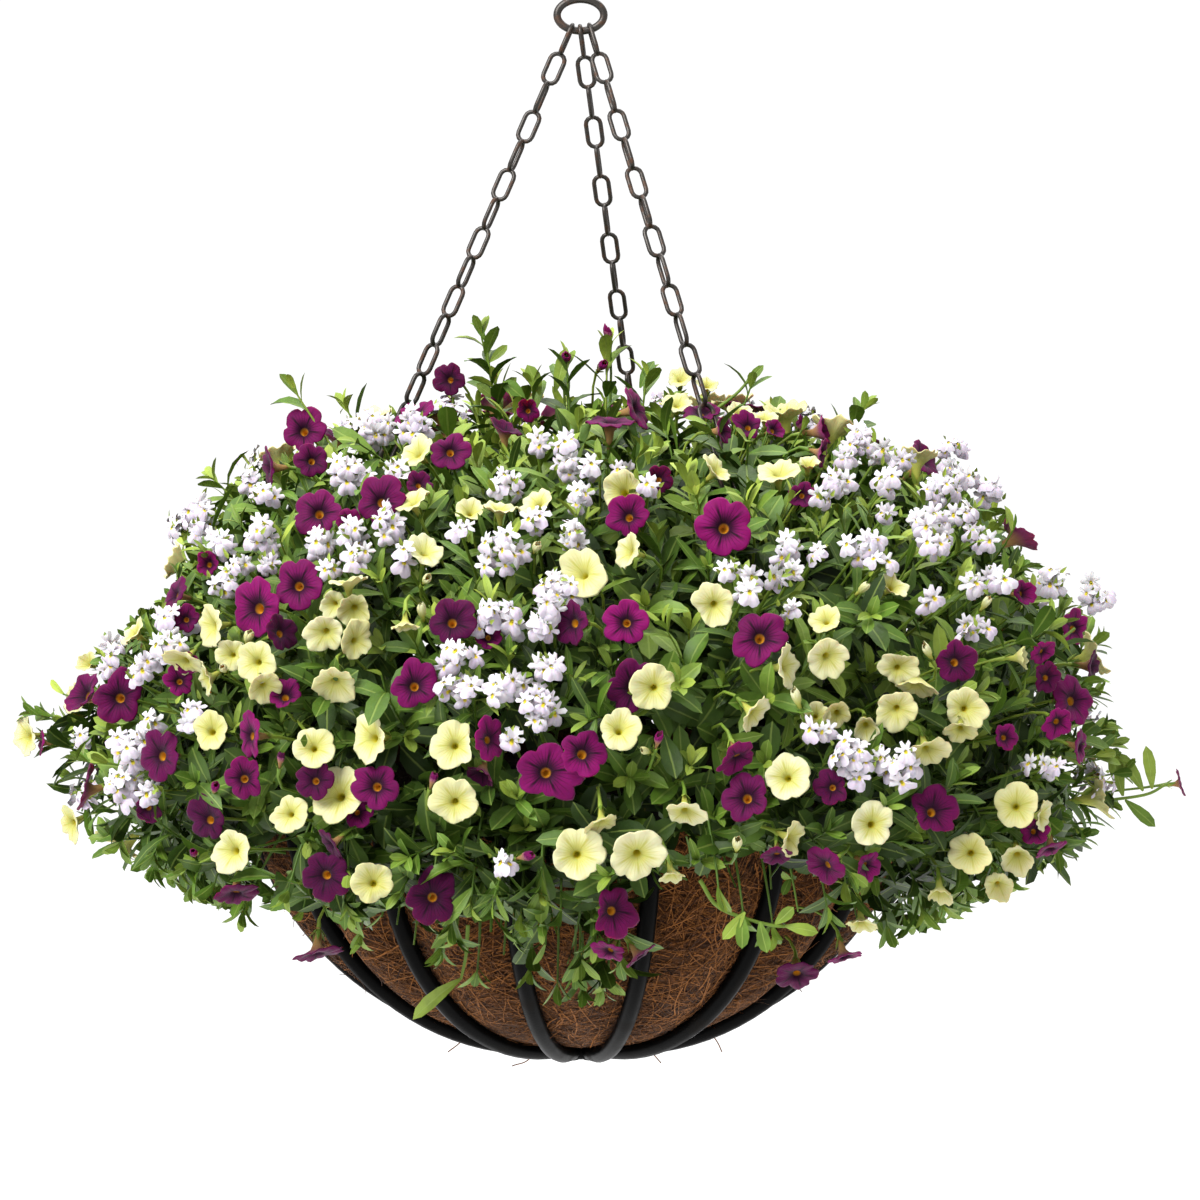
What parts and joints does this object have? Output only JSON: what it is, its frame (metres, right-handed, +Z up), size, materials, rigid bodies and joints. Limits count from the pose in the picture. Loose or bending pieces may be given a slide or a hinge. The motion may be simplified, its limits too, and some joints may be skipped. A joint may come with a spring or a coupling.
{
  "type": "mixed flower hanging basket",
  "caption": "Round wire hanging basket with a coir liner, three chains and a hook, planted with purple and yellow calibrachoa and white nemesia",
  "frame": {"origin": "at the bearing point of the hanging hook, on the inside top of its open crook", "axes": "+Z up along the line the basket hangs on, -Y towards the front, +X to the right"},
  "size_m": [0.6232, 0.5068, 0.5903],
  "materials": {
    "coated_wire": "black plastic-coated steel wire, satin, with a few chalky water marks",
    "coir": "matted brown coconut fibre with loose strands",
    "soil": "dark crumbly potting soil",
    "chain_steel": "weathered dark bronze-grey steel with faint rust",
    "purple_petal": "velvety purple petals with dark veins and an orange-yellow eye",
    "yellow_petal": "soft pale yellow petals with a brighter throat",
    "nemesia_petal": "small white petals tinged lilac, with a yellow spot",
    "leaf": "fresh green leaves and stems, slightly waxy"
  },
  "bodies": {
    "root": {"basket_frame": "coated_wire", "chain_back": "chain_steel", "chain_left": "chain_steel", "chain_right": "chain_steel", "coir_liner": "coir", "hanging_hook": "chain_steel", "leafy_stem_01": "leaf", "leafy_stem_02": "leaf", "leafy_stem_03": "leaf", "leafy_stem_04": "leaf", "leafy_stem_05": "leaf", "leafy_stem_06": "leaf", "leafy_stem_07": "leaf", "leafy_stem_08": "leaf", "leafy_stem_09": "leaf", "leafy_stem_10": "leaf", "nemesia_spray_01": "nemesia_petal", "nemesia_spray_02": "nemesia_petal", "nemesia_spray_03": "nemesia_petal", "nemesia_spray_04": "nemesia_petal", "nemesia_spray_05": "nemesia_petal", "nemesia_spray_06": "nemesia_petal", "nemesia_spray_07": "nemesia_petal", "nemesia_spray_08": "nemesia_petal", "potting_soil": "soil", "purple_bunch_01": "purple_petal", "purple_bunch_02": "purple_petal", "purple_bunch_03": "purple_petal", "purple_bunch_04": "purple_petal", "purple_bunch_05": "purple_petal", "purple_bunch_06": "purple_petal", "purple_bunch_07": "purple_petal", "purple_bunch_08": "purple_petal", "purple_bunch_09": "purple_petal", "rim_clip_back": "chain_steel", "rim_clip_left": "chain_steel", "rim_clip_right": "chain_steel", "yellow_bunch_01": "yellow_petal", "yellow_bunch_02": "yellow_petal", "yellow_bunch_03": "yellow_petal", "yellow_bunch_04": "yellow_petal", "yellow_bunch_05": "yellow_petal", "yellow_bunch_06": "yellow_petal", "yellow_bunch_07": "yellow_petal", "yellow_bunch_08": "yellow_petal", "yellow_bunch_09": "yellow_petal"}
  },
  "joints": []
}
